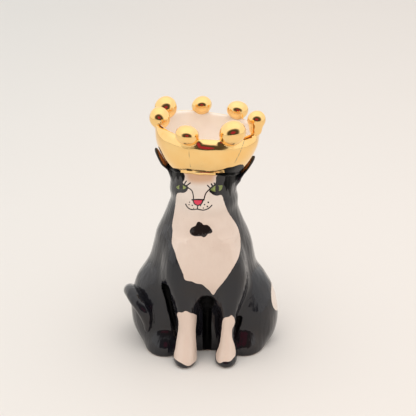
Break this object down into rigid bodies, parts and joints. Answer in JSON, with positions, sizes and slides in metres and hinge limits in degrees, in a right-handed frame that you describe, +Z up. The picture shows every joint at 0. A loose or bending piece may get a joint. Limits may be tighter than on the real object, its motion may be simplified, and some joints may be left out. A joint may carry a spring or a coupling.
{
  "type": "cat candle holder",
  "caption": "Glazed ceramic candle holder: a sitting cat whose head carries a bowl-shaped crown, rimmed with beads, that takes a tealight.",
  "frame": {"origin": "on the floor under the middle of the body, on the underside of the base slab", "axes": "+Z up; the cat looks along -Y; +X is the cat's own left"},
  "size_m": [0.1112, 0.093, 0.177],
  "materials": {
    "black_glaze": "gloss black glaze, with white painted chest, face and socks in the visual",
    "gold_lustre": "mirror gold lustre over glaze; the bowl is cream white inside",
    "bare_clay": "unglazed, matt"
  },
  "bodies": {
    "root": {"torso": "black_glaze", "base_slab": "bare_clay", "right_front_leg": "black_glaze", "left_front_leg": "black_glaze", "right_haunch": "black_glaze", "left_haunch": "black_glaze", "tail": "black_glaze", "crown_collar": "gold_lustre", "right_ear": "black_glaze", "left_ear": "black_glaze", "crown_bowl": "gold_lustre", "crown_bead_1": "gold_lustre", "crown_bead_2": "gold_lustre", "crown_bead_3": "gold_lustre", "crown_bead_4": "gold_lustre", "crown_bead_5": "gold_lustre", "crown_bead_6": "gold_lustre", "crown_bead_7": "gold_lustre"}
  },
  "joints": []
}
